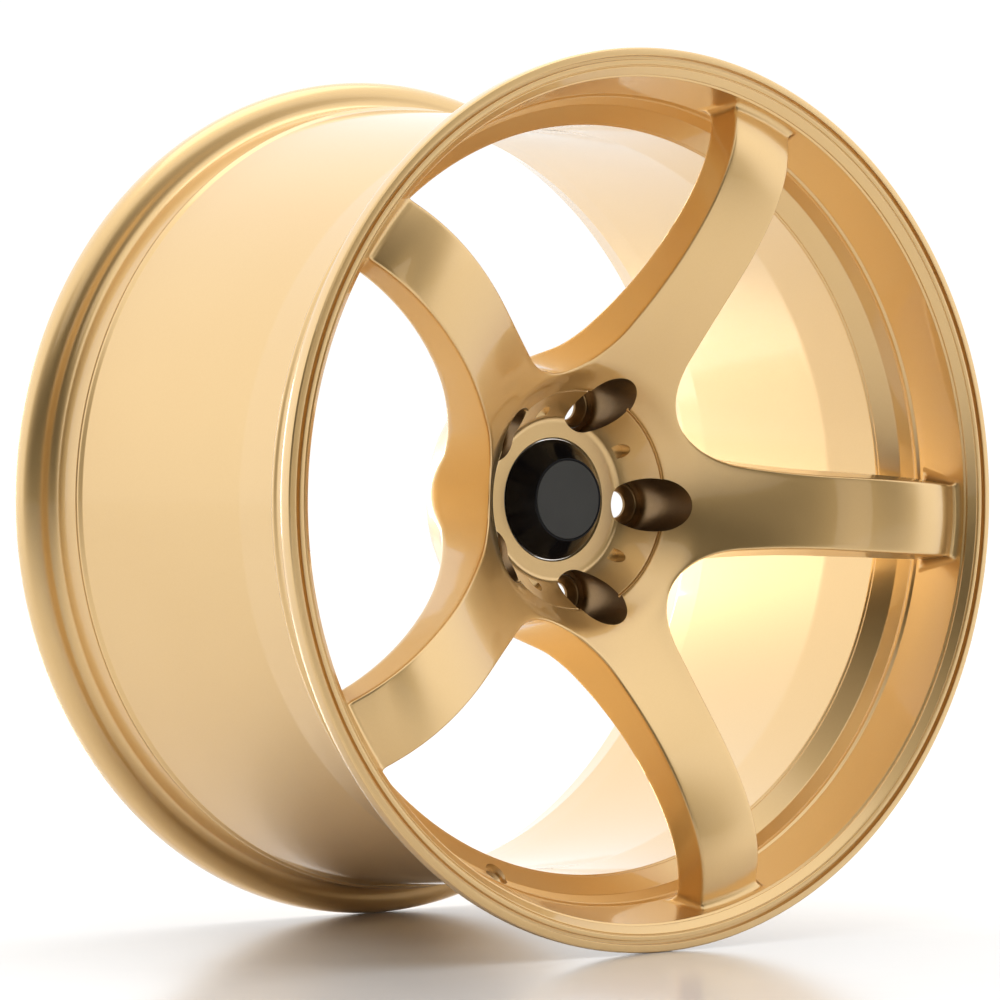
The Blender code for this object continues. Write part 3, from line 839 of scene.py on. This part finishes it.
class RIM_OT_centre(bpy.types.Operator):
    """Build the five-spoke centre and drill its bolt pockets, sleeve holes and dimples"""
    bl_idname = "wheel_rim.centre"
    bl_label = "Centre"

    def execute(self, context):
        settings, finish = context.scene.centre_settings, context.scene.rim_finish
        gold = gold_material("gold_lacquer_centre", finish)
        mesh = bpy.data.meshes.new("wheel_centre")
        vertices, faces = self.arms(settings)
        mesh.from_pydata(vertices, [], faces)
        centre = bpy.data.objects.new("wheel_centre", mesh)
        context.scene.collection.objects.link(centre)
        mesh.materials.append(gold)
        mesh.materials.append(pocket_shade_material(finish))
        tidy(centre)
        pocket, bolt = settings.pocket_radius / MM, settings.bolt_circle
        between = WHEEL_TURN + pi / 5
        drills = [ringed("pocket_drill", self.rod(pocket, 30.0, 107.7), 72, bolt, WHEEL_TURN, closed=False),
                  ringed("sleeve_drill", self.rod(13.32, 100.0, 125.0), 60, bolt, WHEEL_TURN, closed=False),
                  ringed("dimple_drill", self.rod(4.3, 60.0, 92.4), 36, 0.053, between, closed=False)]
        # The drills' walls take the pocket material, so the pockets and sleeve holes come out in painted
        # shade.
        for drill in drills[:2]:
            drill.data.materials.append(gold)
            drill.data.materials.append(pocket_shade_material(finish))
            drill.data.polygons.foreach_set("material_index", [1] * len(drill.data.polygons))
        carve(centre, *drills)
        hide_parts(*CENTRE_NODES)
        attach(centre, "wheel")
        return {"FINISHED"}

    def rod(self, radius, front, rear):
        """Profile of a drill between two depths."""
        return [(front, 0.0), (front, radius), (rear, radius), (rear, 0.0)]

    def stations(self, settings):
        """The stations from a window's middle, round its corner and along the spoke to the rim."""
        start = radians(216.0)
        kinds = [("corner", start + (ARC_END - start) * step / CORNER_STEPS)
                 for step in range(CORNER_STEPS + 1)]
        kinds += [("side", 1 - (1 - step / SIDE_STEPS) ** 1.4) for step in range(1, SIDE_STEPS + 1)]
        kinds += [("flare", pi / 2 * step / FLARE_STEPS) for step in range(1, FLARE_STEPS + 1)]
        kinds += [("buried", 0.0)]
        return [SpokeSection(settings, kind, value) for kind, value in kinds]

    def arms(self, settings):
        """Vertices and faces of the undrilled centre: ten mirrored and turned halves."""
        stations = self.stations(settings)
        counts = (12, 4, 12, 8)        # steps across the face, round an edge, down the wall, across the back
        halves = []
        bend_front = hypot(*stations[BEND].wall(stations[BEND].front)[0])
        bend_back = hypot(*stations[BEND].wall(stations[BEND].back())[0])
        travelled, previous = 0.0, None
        for index, station in enumerate(stations):
            front_place = station.wall(station.front)[0]
            back_place = station.wall(station.back())[0]
            if index <= BEND:
                turn = radians(36.0) * (1 - index / BEND)
                spines = ((STEP_RADIUS * cos(turn), STEP_RADIUS * sin(turn)),
                          (PAD_RADIUS * cos(turn), PAD_RADIUS * sin(turn)))
            else:
                travelled += hypot(front_place[0] - previous[0], front_place[1] - previous[1])
                lag = 1 - smooth(travelled / 80.0)
                spines = ((hypot(*front_place) - (bend_front - STEP_RADIUS) * lag, 0.0),
                          (hypot(*back_place) - (bend_back - PAD_RADIUS) * lag, 0.0))
            previous = front_place
            halves.append(section_points(station, *spines, counts))
        inside = hub_loop()[1:-1]
        vertices, faces = [], []
        for arm in range(settings.spokes):
            for side in (1, -1):
                first = len(vertices)
                width = len(halves[0])
                for row in halves:
                    for place_along, across, depth in row:
                        vertices.append(on_wheel(hypot(place_along, across),
                                                 side * atan2(across, place_along) + tau * arm / 5, depth))
                for index in range(len(halves) - 1):
                    for step in range(width - 1):
                        corner = first + index * width + step
                        faces.append((corner, corner + 1, corner + width + 1, corner + width))
                last = first + (len(halves) - 1) * width
                faces.append(tuple(range(last, last + width)))
                hub_first = len(vertices)
                for index in range(BEND + 1):
                    turn = side * radians(36.0) * (1 - index / BEND) + tau * arm / 5
                    vertices += [on_wheel(radius, turn, depth) for depth, radius in inside]
                for index in range(BEND):
                    for step in range(len(inside) - 1):
                        corner = hub_first + index * len(inside) + step
                        faces.append((corner, corner + 1, corner + len(inside) + 1, corner + len(inside)))
                    row, following = first + index * width, first + (index + 1) * width
                    ring, next_ring = hub_first + index * len(inside), hub_first + (index + 1) * len(inside)
                    faces.append((row + width - 1, ring, next_ring, following + width - 1))
                    faces.append((ring + len(inside) - 1, row, following, next_ring + len(inside) - 1))
        return vertices, faces


class RIM_OT_bolt_seats(bpy.types.Operator):
    """Set a tapered sleeve at the bottom of each bolt pocket"""
    bl_idname = "wheel_rim.bolt_seats"
    bl_label = "Bolt Seats"

    def execute(self, context):
        settings, finish = context.scene.centre_settings, context.scene.rim_finish
        outline = rounded([(107.2, 12.95, 0.35), (115.4, 13.0, 0.3), (115.4, 8.0, 0.4), (113.2, 8.0, 0.5),
                           (108.4, 10.9, 0.3), (107.5, 11.3, 0.3), (107.2, 11.9, 0.3)], 3)
        # The seats' brown is painted shade for the bottom of the bolt pockets.
        seats = ringed("bolt_seats", outline, 64, settings.bolt_circle, WHEEL_TURN, seat_shade_material(finish))
        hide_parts(*SEAT_NODES)
        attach(seats, "wheel")
        return {"FINISHED"}


# ---- The centre cap -----------------------------------------------------------------------------------
class RIM_OT_cap(bpy.types.Operator):
    """Turn the centre cap's black cone and skirt, its plain disc and its spring ring"""
    bl_idname = "wheel_rim.cap"
    bl_label = "Centre Cap"

    def execute(self, context):
        settings, finish = context.scene.cap_settings, context.scene.rim_finish
        base, top, disc = (value / MM for value in (settings.base_radius, settings.top_radius,
                                                    settings.disc_radius))
        body = [(84.0, 0.0, 0.0), (84.0, disc + 0.3, 0.3), (82.4, disc + 0.3, 0.15), (82.4, top, 0.7),
                (96.2, base, 0.6), (98.2, base, 0.4), (98.2, 34.6, 0.2), (99.6, 34.6, 0.2), (99.6, 33.2, 0.3),
                (102.8, 33.2, 0.3), (102.8, 34.6, 0.3), (104.4, 34.0, 0.4), (104.4, 30.8, 0.4),
                (97.5, 30.8, 1.0), (87.0, 22.2, 1.0), (87.0, 0.0, 0.0)]
        cap = turned("cap_cone", rounded(body), 160, cap_material(finish), closed=False)
        face = [(82.2, 0.0, 0.0), (82.25, disc * 0.6, 0.0), (82.3, disc, 0.35), (83.7, disc, 0.2),
                (83.7, 0.0, 0.0)]
        plate = turned("cap_disc", rounded(face), 128, disc_material(finish), closed=False)
        wire = [(101.2 + 0.9 * sin(tau * step / 16), 34.4 + 0.9 * cos(tau * step / 16)) for step in range(16)]
        ring = turned("cap_ring", wire, 128, steel_material(finish))
        for piece, node, slot in ((cap, "cap_body", "cap_black"), (plate, "cap_emblem", "emblem_charcoal"),
                                  (ring, "cap_spring_ring", "spring_steel")):
            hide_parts(node)
            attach(piece, "centre_cap")
        return {"FINISHED"}


# ---- The studio ---------------------------------------------------------------------------------------
FLOOR_RADIUS = 14.0
UNLIT_SIDE = (-0.56, -0.82, 0.08)
SURROUND = ((0.0, 1.0), (0.20, 0.98), (0.34, 0.36), (0.60, 0.20), (0.80, 0.04), (1.0, 0.01))
BACKDROP = 0.85
CAMERA_TURN = [radians(angle) for angle in (89.7559, -0.186, -37.3209)]
CAMERA_OFFSET = (-0.09043, 0.00022, 2.46093)    # right, up and back from the centre of the front crest


def floor_material(settings):
    made, tree, shader, place = blank_material("studio_floor")
    film = use_group(tree, soil_group(), place, Scale=3.0, Gloss=0.16, Film=0.05)
    tree.links.new(film.outputs["Roughness"], shader.inputs["Roughness"])
    shader.inputs["Base Color"].default_value = (*settings.floor_colour, 1.0)
    shader.inputs["Specular IOR Level"].default_value = 0.5
    return made


class RIM_OT_studio(bpy.types.Operator):
    """Set the pale floor, the white surround, the soft lights and the camera"""
    bl_idname = "wheel_rim.studio"
    bl_label = "Studio"

    def execute(self, context):
        settings = context.scene.studio_settings
        low = CAD_BOX[0].z
        mesh = bpy.data.meshes.new("studio_floor")
        shape = bmesh.new()
        bmesh.ops.create_circle(shape, cap_ends=True, segments=96, radius=FLOOR_RADIUS,
                                matrix=Matrix.Translation((0.0, 0.0, low)))
        shape.to_mesh(mesh)
        shape.free()
        floor = bpy.data.objects.new("studio_floor", mesh)
        context.scene.collection.objects.link(floor)
        mesh.materials.append(floor_material(settings))
        self.surround(settings)
        self.panel("key_panel", (-2.2, -2.0, 2.6), (0.0, 0.0, 0.0), 2.2, 1.6, 6.0)
        self.panel("fill_panel", (2.4, -2.6, 1.2), (0.0, 0.0, 0.0), 1.6, 2.0, 1.5)
        self.panel("front_panel", (0.1, -3.3, 0.3), (0.0, 0.0, 0.0), 0.8, 1.6, 3.2, (1.0, 0.93, 0.82))
        self.panel("barrel_panel", (-0.15, 1.7, 0.12), (0.05, 0.1, 0.0), 0.5, 0.5, 6.0)
        self.panel("top_panel", (0.4, 0.6, 3.0), (0.0, 0.0, 0.0), 2.6, 2.0, 14.0)
        self.camera(context, settings)
        context.scene.view_settings.view_transform = "Standard"
        return {"FINISHED"}

    def surround(self, settings):
        """A white surround with a dark side; the camera sees it as a white backdrop all round."""
        world = bpy.data.worlds.new("white_surround")
        world.use_nodes = True
        bpy.context.scene.world = world
        tree = world.node_tree
        back = tree.nodes["Background"]
        aim = tree.nodes.new("ShaderNodeTexCoord")
        dot = tree.nodes.new("ShaderNodeVectorMath")
        dot.operation = "DOT_PRODUCT"
        dot.inputs[1].default_value = Vector(UNLIT_SIDE).normalized()
        ramp = tree.nodes.new("ShaderNodeValToRGB")
        for index, (place, light) in enumerate(SURROUND):
            stop = ramp.color_ramp.elements[index] if index < 2 else ramp.color_ramp.elements.new(place)
            stop.position = place
            stop.color = (light, light * (0.90 + 0.10 * light), light * (0.78 + 0.22 * light), 1.0)
        path = tree.nodes.new("ShaderNodeLightPath")
        mix = tree.nodes.new("ShaderNodeMix")
        mix.data_type = "RGBA"
        mix.inputs["B"].default_value = (BACKDROP, BACKDROP, BACKDROP, 1.0)
        tree.links.new(aim.outputs["Generated"], dot.inputs[0])
        split = tree.nodes.new("ShaderNodeSeparateXYZ")
        tree.links.new(aim.outputs["Generated"], split.inputs["Vector"])
        square = reckon(tree, "MULTIPLY", split.outputs["Z"], split.outputs["Z"])
        height = reckon(tree, "MULTIPLY", square, 0.6)
        tree.links.new(reckon(tree, "SUBTRACT", dot.outputs["Value"], height), ramp.inputs["Fac"])
        tree.links.new(ramp.outputs["Color"], mix.inputs["A"])
        tree.links.new(path.outputs["Is Camera Ray"], mix.inputs["Factor"])
        tree.links.new(mix.outputs["Result"], back.inputs["Color"])
        back.inputs["Strength"].default_value = settings.sky

    def panel(self, name, place, target, width, height, power, colour=(1.0, 0.985, 0.96)):
        data = bpy.data.lights.new(name, "AREA")
        data.shape = "RECTANGLE"
        data.size, data.size_y = width, height
        data.energy = power
        data.color = colour
        lamp = bpy.data.objects.new(name, data)
        lamp.visible_camera = False
        lamp.location = place
        lamp.rotation_euler = (Vector(place) - Vector(target)).to_track_quat("Z", "Y").to_euler()
        bpy.context.scene.collection.objects.link(lamp)

    def camera(self, context, settings):
        data = bpy.data.cameras.new("studio_camera")
        data.lens = settings.lens
        data.sensor_width = 36.0
        data.clip_end = 60.0
        camera = bpy.data.objects.new("studio_camera", data)
        view = Euler(CAMERA_TURN).to_matrix()
        camera.location = Vector((0.0, -MIDDLE * MM, 0.0)) + view @ Vector(CAMERA_OFFSET)
        camera.rotation_euler = CAMERA_TURN
        context.scene.collection.objects.link(camera)
        context.scene.camera = camera


# ---- Registration -------------------------------------------------------------------------------------
OPERATORS = (RIM_OT_skin, RIM_OT_centre, RIM_OT_bolt_seats, RIM_OT_cap, RIM_OT_studio)
SETTINGS = (("rim_settings", RimSettings), ("centre_settings", CentreSettings), ("cap_settings", CapSettings),
            ("rim_finish", FinishSettings), ("studio_settings", StudioSettings))


class RIM_PT_panel(bpy.types.Panel):
    """Lists the rim's settings and the buttons that build its pieces"""
    bl_idname = "RIM_PT_panel"
    bl_label = "Forged Wheel Rim"
    bl_space_type = "VIEW_3D"
    bl_region_type = "UI"
    bl_category = "Wheel Rim"

    def draw(self, context):
        for attribute, kind in SETTINGS:
            box = self.layout.box()
            for label in kind.__annotations__:
                box.prop(getattr(context.scene, attribute), label)
        for operator in OPERATORS:
            self.layout.operator(operator.bl_idname)


def register():
    for _, kind in SETTINGS:
        bpy.utils.register_class(kind)
    for attribute, kind in SETTINGS:
        setattr(bpy.types.Scene, attribute, PointerProperty(type=kind))
    for kind in (*OPERATORS, RIM_PT_panel):
        bpy.utils.register_class(kind)


def unregister():
    for kind in (RIM_PT_panel, *reversed(OPERATORS)):
        bpy.utils.unregister_class(kind)
    for attribute, _ in SETTINGS:
        delattr(bpy.types.Scene, attribute)
    for _, kind in reversed(SETTINGS):
        bpy.utils.unregister_class(kind)


def main():
    register()
    bpy.ops.wheel_rim.studio()
    bpy.ops.wheel_rim.skin()
    bpy.ops.wheel_rim.centre()
    bpy.ops.wheel_rim.bolt_seats()
    bpy.ops.wheel_rim.cap()


if __name__ == "__main__":
    main()
